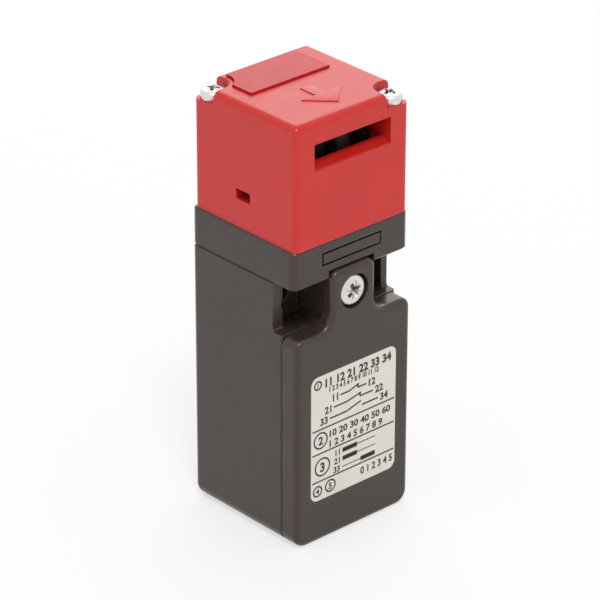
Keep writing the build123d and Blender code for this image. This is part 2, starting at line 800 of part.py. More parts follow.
def make_bridges():
    bridges = []
    for face_z, way in bridge_places():
        back_z = face_z - way * bridge_thickness
        plate = box(-bridge_half_length, bridge_half_length, rod_y - bridge_width / 2,
                    rod_y + bridge_width / 2, min(face_z, back_z), max(face_z, back_z))
        bridges.append(fillet(plate.edges().filter_by(Axis.Z), bridge_width * 0.3))
    return bridges


def make_bridge_tips():
    tips = []
    for face_z, way in bridge_places():
        for side in (-1, 1):
            tips.append(rod_z(side * tip_x, rod_y, face_z, face_z + way * bridge_tip_height, tip_radius))
    return tips


def carrier_window(face_z, way):
    # The bridge rests on one end of its window and its spring on the other.
    far_z = face_z - way * (bridge_thickness + contact_spring_height)
    return min(face_z, far_z), max(face_z, far_z)


def make_contact_springs():
    springs = []
    for face_z, way in bridge_places():
        low, high = carrier_window(face_z, way)
        if way > 0:
            high -= bridge_thickness
        else:
            low += bridge_thickness
        spring = coil(contact_spring_radius, spring_wire_radius, contact_spring_turns, low, high)
        springs.append(Pos(0, rod_y, 0) * spring)
    return springs


def make_contact_carrier():
    half = carrier_width / 2
    carrier = box(-half, half, carrier_front_y, carrier_front_y + carrier_thickness, carrier_bottom_z,
                  carrier_top_z)
    carrier = fillet(carrier.edges().filter_by(Axis.Z), carrier_fillet)
    window_half = bridge_width / 2 + snug_gap
    for face_z, way in bridge_places():
        low, high = carrier_window(face_z, way)
        carrier -= box(-big, big, rod_y - window_half, rod_y + window_half, low, high)
    carrier -= rod_z(0, rod_y, carrier_top_z - rod_tail_length, carrier_top_z + 1, rod_tail_radius)
    return carrier


def make_return_spring():
    low = block_bottom_z + block_floor
    spring = coil(return_spring_radius, return_spring_wire_radius, return_spring_turns, low,
                  carrier_bottom_z)
    return Pos(0, rod_y, 0) * spring


def make_contact_block():
    half = block_half
    block = box(-half, half, strip_back_y, inner_back_y, block_bottom_z, cavity_top_z)
    block += box(-land_half_width, land_half_width, block_front_y, strip_back_y, block_bottom_z, cavity_top_z)
    ear_top = block_bottom_z + ear_height
    block += box(-half, half, block_front_y, strip_back_y, block_bottom_z, ear_top)
    for side in (-1, 1):
        block -= box(side * (block_screw_x - post_radius - body_gap), side * (half + 1),
                     block_front_y + ear_thickness, inner_back_y + 1, block_bottom_z - 1,
                     block_screw_z + post_radius + body_gap)
        block -= rod_along_y(side * block_screw_x, block_screw_z, block_front_y - 1, inner_back_y,
                             block_screw_radius + running_gap)
    block -= box(-channel_half, channel_half, block_front_y - 1, channel_back_y,
                 block_bottom_z + block_floor, cavity_top_z + 1)
    pocket_half = bridge_half_length + body_gap
    pocket_depth_half = bridge_width / 2 + body_gap
    for (level, leg), (face_z, way) in zip(contact_levels(), bridge_places()):
        back_z = face_z - way * (bridge_thickness + body_gap)
        if way < 0:
            back_z += rod_travel
        block -= box(-pocket_half, pocket_half, rod_y - pocket_depth_half, rod_y + pocket_depth_half,
                     min(level, back_z), max(level, back_z))
    for level, leg in contact_levels():
        for side in (-1, 1):
            block -= strip_solid(level, leg, side)
            z = terminal_z(level, leg)
            depth = terminal_screw_length + body_gap - clamp_lip - clamp_thickness
            block -= rod_along_y(side * terminal_x, z, block_front_y, block_front_y + depth,
                                 terminal_screw_radius + body_gap)
    for z in barrier_levels():
        for side in (-1, 1):
            block += box(side * land_half_width, side * half, strip_back_y - barrier_reach - strip_thickness,
                         strip_back_y + snug_gap, z - barrier_thickness / 2, z + barrier_thickness / 2)
    return block


def strip_span(level, leg):
    ends = (level - leg * strip_thickness, level + leg * strip_drop)
    return min(ends), max(ends)


def barrier_levels():
    # Midway between each strip and the one below it.
    spans = [strip_span(level, leg) for level, leg in contact_levels()]
    return [(upper[0] + lower[1]) / 2 for upper, lower in zip(spans, spans[1:])]


def make_block_cover():
    # Plate over the carrier's channel, between the two columns of terminals.
    half = land_half_width - snug_gap
    plate = box(-half, half, block_front_y - retainer_plate, block_front_y, block_bottom_z, cavity_top_z)
    return chamfer(plate.faces().sort_by(Axis.Y)[0].edges(), retainer_plate * 0.3)


def make_terminal_clamps():
    half = clamp_size / 2
    clamps = []
    for level, leg in contact_levels():
        for side in (-1, 1):
            z = terminal_z(level, leg)
            x = side * terminal_x
            lip_y = block_front_y - clamp_lip
            clamp = box(x - half, x + half, clamp_front_y, block_front_y, z - half, z + half)
            clamp = fillet(clamp.edges().filter_by(Axis.X).group_by(Axis.Y)[0], clamp_thickness * 0.7)
            inner = half - clamp_thickness
            clamp -= box(x - half - 1, x + half + 1, lip_y, block_front_y + 1, z - inner, z + inner)
            clamp -= rod_along_y(x, z, clamp_front_y - 1, block_front_y, terminal_screw_radius + running_gap)
            clamps.append(clamp)
    return clamps


def make_terminal_screws():
    screw = pan_screw(terminal_head_radius, terminal_head_height, terminal_screw_radius,
                      terminal_screw_length)
    screws = []
    for level, leg in contact_levels():
        for side in (-1, 1):
            place = Pos(side * terminal_x, clamp_front_y, terminal_z(level, leg))
            screws.append(place * Rot(90, 0, 0) * screw)
    return screws


def make_block_posts():
    # Threaded posts, pressed into the rear wall, that take the block's two screws.
    start = block_front_y + ear_thickness
    hole_end = block_front_y + block_screw_length + block_screw_tip_gap
    posts = []
    for side in (-1, 1):
        x = side * block_screw_x
        post = rod_along_y(x, block_screw_z, start, inner_back_y + post_seat, post_radius)
        hole = rod_along_y(x, block_screw_z, start - 1, hole_end, block_screw_radius + running_gap)
        posts.append(post - hole)
    return posts


def make_block_screws():
    screw = pan_screw(block_screw_head_radius, block_screw_head_height, block_screw_radius,
                      block_screw_length)
    places = [Pos(side * block_screw_x, block_front_y, block_screw_z) for side in (-1, 1)]
    return [place * Rot(90, 0, 0) * screw for place in places]


parts = {
    "head_housing": make_head_housing,
    "top_slot_plug": make_top_slot_plug,
    "head_screws": make_head_screws,
    "head_screw_inserts": make_head_screw_inserts,
    "cam_cage": make_cam_cage,
    "cam_axle": make_cam_axle,
    "cam_wheel": make_cam_wheel,
    "head_gasket": make_head_gasket,
    "push_rod": make_push_rod,
    "rod_guide": make_rod_guide,
    "rod_seal": make_rod_seal,
    "body_collar": make_body_collar,
    "body_housing": make_body_housing,
    "front_cover": make_front_cover,
    "cover_gasket": make_cover_gasket,
    "label_plate": make_label_plate,
    "cover_screw": make_cover_screw,
    "cover_screw_retainer": make_cover_screw_retainer,
    "cover_screw_insert": make_cover_screw_insert,
    "contact_block": make_contact_block,
    "contact_block_cover": make_block_cover,
    "contact_carrier": make_contact_carrier,
    "fixed_contacts": make_fixed_contacts,
    "fixed_contact_tips": make_fixed_tips,
    "bridge_contacts": make_bridges,
    "bridge_contact_tips": make_bridge_tips,
    "contact_springs": make_contact_springs,
    "return_spring": make_return_spring,
    "terminal_clamps": make_terminal_clamps,
    "terminal_screws": make_terminal_screws,
    "block_posts": make_block_posts,
    "block_screws": make_block_screws,
}

os.makedirs("parts", exist_ok=True)
for node, make in parts.items():
    shape = make()
    if isinstance(shape, list):
        shape = Compound(children=shape)
    export_step(shape, "parts/" + node + ".step")
    print(node, "written")
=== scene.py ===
import json
import math

import bmesh
import bpy
from mathutils import Matrix, Vector


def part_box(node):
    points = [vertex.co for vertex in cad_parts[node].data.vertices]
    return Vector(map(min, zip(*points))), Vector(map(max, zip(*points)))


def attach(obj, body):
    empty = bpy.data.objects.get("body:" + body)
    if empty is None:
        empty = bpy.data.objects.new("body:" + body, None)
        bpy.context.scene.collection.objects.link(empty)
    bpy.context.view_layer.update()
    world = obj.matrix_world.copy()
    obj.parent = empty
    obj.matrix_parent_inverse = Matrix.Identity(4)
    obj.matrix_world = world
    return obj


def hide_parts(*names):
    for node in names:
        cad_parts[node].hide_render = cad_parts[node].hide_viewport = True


# Looks of a key-operated safety switch: a red head on a black body, with a pale label.
# Metres, +Z up. The label side faces -Y.

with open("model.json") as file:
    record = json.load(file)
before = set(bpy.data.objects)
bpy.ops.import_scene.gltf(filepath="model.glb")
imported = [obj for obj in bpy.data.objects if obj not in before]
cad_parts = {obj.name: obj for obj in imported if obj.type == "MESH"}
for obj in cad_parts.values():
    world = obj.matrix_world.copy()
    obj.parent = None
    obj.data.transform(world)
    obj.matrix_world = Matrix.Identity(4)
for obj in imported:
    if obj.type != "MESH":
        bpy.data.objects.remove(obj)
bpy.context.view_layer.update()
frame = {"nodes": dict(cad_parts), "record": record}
nodes = frame["nodes"]

MM = 0.001

# Camera, as it stood for the photograph
CAMERA_AZIMUTH = -42.193
CAMERA_ELEVATION = 27.088
CAMERA_ROLL = 0.101
CAMERA_DISTANCE = 742.89 * MM
CAMERA_TARGET = Vector((-0.203, 0.184, 45.982)) * MM
SENSOR_WIDTH = 36.0
FOCAL_PIXELS = 3671.78
IMAGE_WIDTH = 600
CLIP_START = 0.01
CLIP_END = 20.0

# Floor and light
FLOOR_RADIUS = 3.0
FLOOR_WHITE = 0.93
FLOOR_GLOW = 0.62
AMBIENT = 0.68
LIGHT_TARGET = (0, 0, 0.045)
KEY_PLACE = (-0.32, -0.46, 1.04)
KEY_SIZE = (0.24, 0.24)
KEY_POWER = 4.5
BACK_PLACE = (0.60, 0.66, 0.52)
BACK_SIZE = (0.9, 0.7)
BACK_POWER = 2.9

# Screws. Turns are in degrees about the screw's axis.
HEAD_SCREW_RADIUS = 2.65 * MM
HEAD_SCREW_HEIGHT = 2.3 * MM
HEAD_SCREW_SHANK_RADIUS = 1.45 * MM
RIGHT_SCREW_TURN = 12
LEFT_SCREW_TURN = 33
COVER_SCREW_HEIGHT = 1.85 * MM
COVER_SCREW_SHANK_RADIUS = 1.95 * MM
COVER_SCREW_TURN = 28
THREAD_PITCH = 0.7 * MM
THREAD_DEPTH = 0.22 * MM
SCREW_SMOOTH_ANGLE = 32

# Cross recess and index marks of a screw, as shares of its head's radius
RECESS_REACH = 0.60
RECESS_HALF_WIDTH = 0.155
RECESS_CORE = 0.30
TICK_REACH = 0.66
TICK_HALF_WIDTH = 0.045
TICK_DEPTH = 0.24 * MM
CUTTER_RISE = 0.1 * MM

# Cable entry thread
ENTRY_PITCH = 1.5 * MM
ENTRY_RADIUS = 10.0 * MM
ENTRY_RIDGE = 0.78 * MM
ENTRY_BOTTOM = 0.6 * MM
ENTRY_TOP = 7.9 * MM
ENTRY_MIDDLE_Y = 0.8 * MM

# Print on the label. Widths of its lines, in mm: rings and symbols, rules, travel lines and travel bars.
# BOLD is how much a character's outline grows, as a share of its height.
PRINT_RISE = 0.015 * MM
LINE = 0.38
RULE = 0.34
TRAVEL_LINE = 0.22
TRAVEL_BAR = 1.05
BOLD = 0.05

# How far the arrow and the lead-ins reach into what carries them
SINK = 0.02 * MM

# Key slot: the opening in the head's front wall, and the slopes that lead into it
KEY_SLOT_WIDTH = 20.3 * MM
KEY_SLOT_HEIGHT = 5.8 * MM
KEY_SLOT_MIDDLE = 85.7 * MM
LEAD_IN_START = 0.05 * MM
LEAD_IN_LENGTH = 2.9 * MM
LEAD_IN_RISE = 1.05 * MM
LEAD_IN_NOSE = 0.25 * MM

# Arrow on the head
ARROW_LENGTH = 9.6 * MM
ARROW_HEAD_LENGTH = 5.2 * MM
ARROW_HEAD_WIDTH = 10.4 * MM
ARROW_SHAFT_WIDTH = 3.0 * MM
ARROW_RISE = 0.22 * MM
ARROW_BEVEL = 0.12 * MM

# Mark of the mould's gate on the cover. Its profile is (radius, height) in mm.
GATE_X = 7.5 * MM
GATE_Z = 46.4 * MM
GATE_SINK = 0.03 * MM
GATE_PROFILE = [(0.0, 0.0), (0.62, 0.0), (0.62, 0.05), (0.52, 0.13), (0.30, 0.13), (0.22, 0.08), (0.0, 0.08)]


def new_object(name, mesh):
    item = bpy.data.objects.new(name, mesh)
    bpy.context.scene.collection.objects.link(item)
    return item


def object_from_bmesh(name, bm, smooth_angle=35):
    mesh = bpy.data.meshes.new(name)
    bm.normal_update()
    bm.to_mesh(mesh)
    bm.free()
    mesh.shade_smooth()
    mesh.set_sharp_from_angle(angle=math.radians(smooth_angle))
    return new_object(name, mesh)


def take_material(item, material):
    item.data.materials.clear()
    item.data.materials.append(material)
    return item


# Materials


class Graph:
    """A material's node tree, with short calls to add and link nodes."""

    def __init__(self, name):
        self.material = bpy.data.materials.new(name)
        self.material.use_nodes = True
        self.tree = self.material.node_tree
        self.shader = self.tree.nodes["Principled BSDF"]
        self.place = self.add("ShaderNodeTexCoord").outputs["Object"]

    def add(self, kind, **settings):
        node = self.tree.nodes.new(kind)
        for key, value in settings.items():
            setattr(node, key, value)
        return node

    def link(self, source, target):
        self.tree.links.new(source, target)

    def noise(self, size_mm, detail=3.0, roughness=0.55, stretch=None):
        """Cloudy noise whose blotches are about size_mm across."""
        place = self.place
        if stretch:
            mapping = self.add("ShaderNodeMapping")
            mapping.inputs["Scale"].default_value = stretch
            self.link(place, mapping.inputs["Vector"])
            place = mapping.outputs["Vector"]
        node = self.add("ShaderNodeTexNoise")
        node.inputs["Scale"].default_value = 1.0 / (size_mm * MM)
        node.inputs["Detail"].default_value = detail
        node.inputs["Roughness"].default_value = roughness
        self.link(place, node.inputs["Vector"])
        return node.outputs["Fac"]

    def remap(self, value, low, high, to_low, to_high):
        node = self.add("ShaderNodeMapRange", clamp=True)
        self.link(value, node.inputs["Value"])
        for key, number in (("From Min", low), ("From Max", high), ("To Min", to_low), ("To Max", to_high)):
            node.inputs[key].default_value = number
        return node.outputs["Result"]

    def mix(self, factor, first, second):
        """Colour mix. first and second are colours or sockets."""
        node = self.add("ShaderNodeMix", data_type="RGBA", clamp_factor=True)
        self.link(factor, node.inputs[0])
        for socket, value in ((node.inputs[6], first), (node.inputs[7], second)):
            if isinstance(value, tuple):
                socket.default_value = (*value, 1.0)
            else:
                self.link(value, socket)
        return node.outputs[2]

    def math(self, operation, first, second):
        node = self.add("ShaderNodeMath", operation=operation)
        for socket, value in zip(node.inputs, (first, second)):
            if isinstance(value, (int, float)):
                socket.default_value = value
            else:
                self.link(value, socket)
        return node.outputs[0]

    def rounded_normal(self, radius_mm):
        node = self.add("ShaderNodeBevel", samples=6)
        node.inputs["Radius"].default_value = radius_mm * MM
        return node.outputs["Normal"]

    def edges(self, radius_mm, low, high):
        """1 along the outer and inner edges and 0 on the faces between them."""
        rounded = self.rounded_normal(radius_mm)
        true = self.add("ShaderNodeNewGeometry").outputs["True Normal"]
        dot = self.add("ShaderNodeVectorMath", operation="DOT_PRODUCT")
        self.link(rounded, dot.inputs[0])
        self.link(true, dot.inputs[1])
        return self.remap(dot.outputs["Value"], high, low, 0.0, 1.0)

    def openness(self, reach_mm):
        """1 on open faces, towards 0 in narrow recesses of the same piece."""
        node = self.add("ShaderNodeAmbientOcclusion", samples=8, only_local=True)
        node.inputs["Distance"].default_value = reach_mm * MM
        return node.outputs["AO"]

    def bump(self, layers, edge_radius_mm):
        """layers are (height socket, depth in mm, strength), the coarsest first."""
        normal = self.rounded_normal(edge_radius_mm) if edge_radius_mm else None
        for height, depth_mm, strength in layers:
            node = self.add("ShaderNodeBump")
            node.inputs["Distance"].default_value = depth_mm * MM
            node.inputs["Strength"].default_value = strength
            self.link(height, node.inputs["Height"])
            if normal is not None:
                self.link(normal, node.inputs["Normal"])
            normal = node.outputs["Normal"]
        self.link(normal, self.shader.inputs["Normal"])


def scaled(colour, factor):
    return tuple(min(1.0, part * factor) for part in colour)


def moulded_plastic(name, colour, roughness, grain_mm=0.11, grain=0.5, mottle=0.06, wear_and_highlight=None,
                    edge_mm=0.18, ior=1.46):
    """Moulded part: spark-eroded skin, faint flow clouds, and edges lightened in patches by painted
    highlight and by wear.
    """
    g = Graph(name)
    clouds = g.noise(9.0, detail=2.0)
    flow = g.noise(1.6, detail=4.0, stretch=(1.0, 1.0, 0.35))
    skin = g.noise(grain_mm, detail=2.0, roughness=0.6)
    tint = g.remap(clouds, 0.32, 0.68, 0.0, 1.0)
    base = g.mix(tint, scaled(colour, 1 - mottle), scaled(colour, 1 + mottle))
    streaks = g.remap(flow, 0.45, 0.75, 0.0, 0.35)
    base = g.mix(streaks, base, scaled(colour, 1 + 1.6 * mottle))
    if wear_and_highlight:
        # Painted highlight and wear: the colour lightens towards this edge colour in patches along outer and
        # inner edges.
        patches = g.remap(g.noise(1.1), 0.35, 0.7, 0.15, 0.8)
        base = g.mix(g.math("MULTIPLY", g.edges(0.35, 0.93, 0.995), patches), base, wear_and_highlight)
    g.link(base, g.shader.inputs["Base Color"])
    gloss = g.math("ADD", flow, g.noise(0.5, detail=4.0))
    g.link(g.remap(gloss, 0.75, 1.25, roughness - 0.05, roughness + 0.06), g.shader.inputs["Roughness"])
    g.shader.inputs["IOR"].default_value = ior
    g.bump(((clouds, 0.05, 0.2), (skin, 0.006, grain)), edge_mm)
    return g.material


def plated_metal(name, colour, roughness, tarnish_and_shade, brushed=False, edge_mm=0.06):
    """Bright plated or bare metal with drawn lines, clouding, small pits, and painted shade that darkens its
    recesses.
    """
    g = Graph(name)
    clouds = g.noise(1.4, detail=4.0)
    lines = g.noise(0.35, detail=3.0, stretch=(1.0, 1.0, 0.12) if brushed else (1.0, 1.0, 1.0))
    pits = g.noise(0.12, detail=2.0)
    base = g.mix(g.remap(clouds, 0.4, 0.72, 0.0, 0.55), colour, tarnish_and_shade)
    # Painted shade: narrow recesses darken towards a dim copy of the tarnish colour, masked by ambient
    # occlusion.
    base = g.mix(g.remap(g.openness(1.6), 0.35, 0.90, 0.0, 1.0), scaled(tarnish_and_shade, 0.45), base)
    g.link(base, g.shader.inputs["Base Color"])
    g.shader.inputs["Metallic"].default_value = 1.0
    g.link(g.remap(lines, 0.3, 0.7, roughness - 0.07, roughness + 0.1), g.shader.inputs["Roughness"])
    g.bump(((lines, 0.01, 0.25), (pits, 0.006, 0.3)), edge_mm)
    return g.material


def soft_rubber(name, colour):
    """Matt seal rubber with a dusty bloom."""
    g = Graph(name)
    bloom = g.noise(2.2, detail=4.0)
    skin = g.noise(0.09)
    g.link(g.mix(g.remap(bloom, 0.45, 0.8, 0.0, 0.5), colour, scaled(colour, 1.8)),
           g.shader.inputs["Base Color"])
    g.link(g.remap(skin, 0.3, 0.7, 0.66, 0.82), g.shader.inputs["Roughness"])
    g.bump(((bloom, 0.03, 0.2), (skin, 0.01, 0.6)), 0.1)
    return g.material


def label_film(name, colour):
    """Matt printed film, a little uneven where its adhesive is thicker."""
    g = Graph(name)
    clouds = g.noise(5.0, detail=3.0)
    fibres = g.noise(0.15, detail=3.0)
    g.link(g.mix(g.remap(clouds, 0.35, 0.7, 0.0, 1.0), scaled(colour, 0.965), scaled(colour, 1.02)),
           g.shader.inputs["Base Color"])
    g.link(g.remap(fibres, 0.3, 0.7, 0.42, 0.52), g.shader.inputs["Roughness"])
    g.bump(((clouds, 0.02, 0.25), (fibres, 0.003, 0.3)), 0.05)
    return g.material


def print_ink(name, colour):
    """Black print, thinner in places."""
    g = Graph(name)
    thin = g.noise(0.4, detail=4.0)
    g.link(g.mix(g.remap(thin, 0.45, 0.8, 0.0, 0.8), colour, scaled(colour, 2.6)),
           g.shader.inputs["Base Color"])
    g.link(g.remap(g.noise(0.2), 0.3, 0.7, 0.4, 0.55), g.shader.inputs["Roughness"])
    g.bump(((thin, 0.002, 0.3),), 0)
    return g.material


# The lighter edge colours given to the plastics below are painted highlight and wear.
RED = (0.575, 0.017, 0.013)
PLUG_RED = (0.52, 0.014, 0.016)
materials = {
    "red_plastic": moulded_plastic("red_plastic", RED, 0.34, grain=0.5, mottle=0.035,
                                   wear_and_highlight=(0.64, 0.06, 0.06)),
    "black_plastic": moulded_plastic("black_plastic", (0.044, 0.030, 0.024), 0.25, grain=0.22,
                                     mottle=0.07, wear_and_highlight=(0.11, 0.095, 0.085), edge_mm=0.32),
    "dark_plastic": moulded_plastic("dark_plastic", (0.070, 0.050, 0.050), 0.5, mottle=0.1),
    "white_acetal": moulded_plastic("white_acetal", (0.74, 0.73, 0.68), 0.36, grain=0.25, mottle=0.03),
    "grey_thermoset": moulded_plastic("grey_thermoset", (0.16, 0.17, 0.16), 0.55, mottle=0.12),
    "zinc_steel": plated_metal("zinc_steel", (0.76, 0.74, 0.71), 0.30, (0.56, 0.54, 0.50)),
    "spring_steel": plated_metal("spring_steel", (0.56, 0.56, 0.57), 0.28, (0.42, 0.41, 0.40),
                                 brushed=True),
    "brass": plated_metal("brass", (0.83, 0.62, 0.28), 0.3, (0.62, 0.43, 0.18), brushed=True),
    "contact_silver": plated_metal("contact_silver", (0.90, 0.88, 0.84), 0.26, (0.68, 0.64, 0.56)),
    "rubber": soft_rubber("rubber", (0.022, 0.022, 0.023)),
    "label": label_film("label", (0.755, 0.715, 0.64)),
    "ink": print_ink("ink", (0.022, 0.020, 0.019)),
}
node_slot = {entry["node"]: entry["material_slot"] for entry in frame["record"]["subparts"]}
for node_name, item in nodes.items():
    take_material(item, materials[node_slot[node_name]])
plug_material = moulded_plastic("red_plug_plastic", PLUG_RED, 0.40, mottle=0.05, wear_and_highlight=(0.60, 0.05, 0.05),
                                ior=1.38)
take_material(nodes["top_slot_plug"], plug_material)


# Screws


def revolve(bm, profile, segments=64):
    """Turns a profile of (radius, height) points about +Z."""
    rings = []
    for radius, height in profile:
        if radius < 1e-9:
            rings.append([bm.verts.new((0, 0, height))])
            continue
        ring = []
        for i in range(segments):
            angle = 2 * math.pi * i / segments
            ring.append(bm.verts.new((radius * math.cos(angle), radius * math.sin(angle), height)))
        rings.append(ring)
    for lower, upper in zip(rings, rings[1:]):
        for i in range(segments):
            k = (i + 1) % segments
            corners = [lower[i % len(lower)], lower[k % len(lower)],
                       upper[k % len(upper)], upper[i % len(upper)]]
            corners = list(dict.fromkeys(corners))
            if len(corners) > 2:
                bm.faces.new(corners)
    return bm


def tapered_bar(bm, length, width, top, bottom, shares, turn):
    """Bar across the axis. Its bottom has the given shares of its length and width."""
    corners = []
    for height, along, across in ((top, 1.0, 1.0), (bottom, *shares)):
        for sx, sy in ((-1, -1), (1, -1), (1, 1), (-1, 1)):
            corner = Vector((sx * length * along, sy * width * across, height))
            corners.append(bm.verts.new(Matrix.Rotation(turn, 3, "Z") @ corner))
    for face in ((0, 1, 2, 3), (7, 6, 5, 4), (0, 4, 5, 1), (1, 5, 6, 2), (2, 6, 7, 3), (3, 7, 4, 0)):
        bm.faces.new([corners[i] for i in face])


def cut(item, cutter_bm, name):
    """Takes a cutter's volume out of an item and keeps the result as plain mesh."""
    cutter = object_from_bmesh(name, cutter_bm)
    modifier = item.modifiers.new("cut", "BOOLEAN")
    modifier.operation = "DIFFERENCE"
    modifier.solver = "EXACT"
    modifier.use_self = True
    modifier.object = cutter
    evaluated = item.evaluated_get(bpy.context.evaluated_depsgraph_get())
    mesh = bpy.data.meshes.new_from_object(evaluated)
    item.modifiers.clear()
    item.data = mesh
    mesh.shade_smooth()
    mesh.set_sharp_from_angle(angle=math.radians(SCREW_SMOOTH_ANGLE))
    bpy.data.objects.remove(cutter)
    return item


def pan_head_profile(radius, height):
    """Underside, side wall and dome of a pan head, from its seat to its crown."""
    wall = height * 0.42
    dome = radius * 0.30
    points = [(radius * 0.97, 0.0), (radius, height * 0.06), (radius, wall)]
    steps = 9
    for i in range(1, steps + 1):
        angle = (math.pi / 2) * i / steps
        points.append((radius - dome + dome * math.cos(angle),
                       wall + (height * 0.86 - wall) * math.sin(angle)))
    points.append((radius * 0.45, height * 0.965))
    points.append((0.0, height))
    return points


def screw(name, radius, height, shank_radius, shank_length):
    """Pan-head screw with a cross recess, its four small index marks and a cut thread."""
    root = shank_radius - THREAD_DEPTH
    thread = []
    turns = int(shank_length / THREAD_PITCH) - 1
    for i in range(turns):
        z = -shank_length + 0.5 * MM + i * THREAD_PITCH
        thread += [(root, z), (shank_radius, z + 0.35 * THREAD_PITCH),
                   (shank_radius, z + 0.45 * THREAD_PITCH)]
    profile = [(0.0, -shank_length), (root * 0.8, -shank_length), *thread, (root, -0.25 * MM), (root, 0.0)]
    turned = revolve(bmesh.new(), profile + pan_head_profile(radius, height))
    item = object_from_bmesh(name, turned, SCREW_SMOOTH_ANGLE)
    top, floor = height + CUTTER_RISE, height * 0.3
    recess = bmesh.new()
    for turn in (0, 90):
        tapered_bar(recess, radius * RECESS_REACH, radius * RECESS_HALF_WIDTH, top, floor, (0.34, 0.6),
                    math.radians(turn))
    tapered_bar(recess, radius * RECESS_CORE, radius * RECESS_CORE, top, floor, (0.5, 0.5), math.radians(45))
    item = cut(item, recess, name + "_recess")
    ticks = bmesh.new()
    for turn in (45, 135):
        tapered_bar(ticks, radius * TICK_REACH, radius * TICK_HALF_WIDTH, top, height - TICK_DEPTH,
                    (0.98, 0.6), math.radians(turn))
    item = cut(item, ticks, name + "_ticks")
    return take_material(item, materials["zinc_steel"])


def joined(name, items):
    """One object from several, with their places kept."""
    bm = bmesh.new()
    for item in items:
        part = item.data.copy()
        part.transform(item.matrix_basis)
        bm.from_mesh(part)
        bpy.data.objects.remove(item)
    return take_material(object_from_bmesh(name, bm, SCREW_SMOOTH_ANGLE), materials["zinc_steel"])


low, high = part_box("head_screws")
head_screw_x = high.x - HEAD_SCREW_RADIUS
head_screw_mid_y = (low.y + high.y) / 2
head_screw_y = (high.y - low.y) / 2 - HEAD_SCREW_RADIUS
seat_z = high.z - HEAD_SCREW_HEIGHT
pair = []
for side, turn in ((1, RIGHT_SCREW_TURN), (-1, LEFT_SCREW_TURN)):
    piece = screw("head_screw_" + str(turn), HEAD_SCREW_RADIUS, HEAD_SCREW_HEIGHT, HEAD_SCREW_SHANK_RADIUS,
                  seat_z - low.z)
    place = Vector((side * head_screw_x, head_screw_mid_y - side * head_screw_y, seat_z))
    piece.matrix_basis = Matrix.Translation(place) @ Matrix.Rotation(math.radians(turn), 4, "Z")
    pair.append(piece)
head_screw_pair = joined("pan_screws_of_head", pair)
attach(head_screw_pair, "housing")
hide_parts("head_screws")

low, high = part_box("cover_screw")
cover_screw_radius = (high.x - low.x) / 2
cover_screw_piece = screw("pan_screw_of_cover", cover_screw_radius, COVER_SCREW_HEIGHT,
                          COVER_SCREW_SHANK_RADIUS, high.y - low.y - COVER_SCREW_HEIGHT)
place = Vector(((low.x + high.x) / 2, low.y + COVER_SCREW_HEIGHT, (low.z + high.z) / 2))
lying = Matrix.Rotation(math.radians(90), 4, "X") @ Matrix.Rotation(math.radians(COVER_SCREW_TURN), 4, "Z")
cover_screw_piece.matrix_basis = Matrix.Translation(place) @ lying
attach(cover_screw_piece, "housing")
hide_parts("cover_screw")


# Thread of the cable entry


def inner_thread(name, radius, ridge, pitch, bottom, top, segments=72):
    """Helical ridge that stands inwards from a bore."""
    bm = bmesh.new()
    turns = (top - bottom - pitch) / pitch
    count = int(turns * segments)
    rows = []
    for i in range(count + 1):
        angle = 2 * math.pi * i / segments
        fade = min(1.0, i / (segments / 6), (count - i) / (segments / 6))
        z = bottom + pitch * i / segments
        crest = radius - ridge * fade
        section = [(radius, 0.04), (crest, 0.42), (crest, 0.58), (radius, 0.96)]
        rows.append([bm.verts.new((r * math.cos(angle), r * math.sin(angle), z + share * pitch))
                     for r, share in section])
    for row, following in zip(rows, rows[1:]):
        for j in range(3):
            bm.faces.new((row[j], row[j + 1], following[j + 1], following[j]))
        bm.faces.new((row[3], row[0], following[0], following[3]))
    bm.faces.new(rows[0])
    bm.faces.new(list(reversed(rows[-1])))
    bmesh.ops.recalc_face_normals(bm, faces=bm.faces)
    return object_from_bmesh(name, bm, 25)


entry_thread = inner_thread("cable_entry_thread", ENTRY_RADIUS, ENTRY_RIDGE, ENTRY_PITCH, ENTRY_BOTTOM,
                            ENTRY_TOP)
entry_thread.location = (0, ENTRY_MIDDLE_Y, 0)
take_material(entry_thread, materials["black_plastic"])
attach(entry_thread, "housing")


# Arrow on the head


def raised_shape(name, outline, rise, bevel):
    """Flat outline in the XY plane, raised with soft edges."""
    bm = bmesh.new()
    face = bm.faces.new([bm.verts.new((x, y, 0)) for x, y in outline])
    moved = bmesh.ops.extrude_face_region(bm, geom=[face])
    tops = [v for v in moved["geom"] if isinstance(v, bmesh.types.BMVert)]
    bmesh.ops.translate(bm, vec=(0, 0, rise), verts=tops)
    bmesh.ops.recalc_face_normals(bm, faces=bm.faces)
    crest = [e for e in bm.edges if all(v.co.z > rise / 2 for v in e.verts)]
    bmesh.ops.bevel(bm, geom=crest, offset=bevel, segments=3, affect="EDGES", profile=0.5)
    return object_from_bmesh(name, bm, 40)


plug_low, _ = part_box("top_slot_plug")
head_low, head_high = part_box("head_housing")
tail = ARROW_LENGTH / 2
neck = -ARROW_LENGTH / 2 + ARROW_HEAD_LENGTH
arrow_outline = [
    (0, -tail),
    (ARROW_HEAD_WIDTH / 2, neck),
    (ARROW_SHAFT_WIDTH / 2, neck),
    (ARROW_SHAFT_WIDTH / 2, tail),
    (-ARROW_SHAFT_WIDTH / 2, tail),
    (-ARROW_SHAFT_WIDTH / 2, neck),
    (-ARROW_HEAD_WIDTH / 2, neck),
]
arrow = raised_shape("insertion_arrow", arrow_outline, ARROW_RISE + SINK, ARROW_BEVEL)
arrow.location = (0, (plug_low.y + head_low.y) / 2, head_high.z - SINK)
take_material(arrow, materials["red_plastic"])
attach(arrow, "housing")


# Lead-ins of the key slot


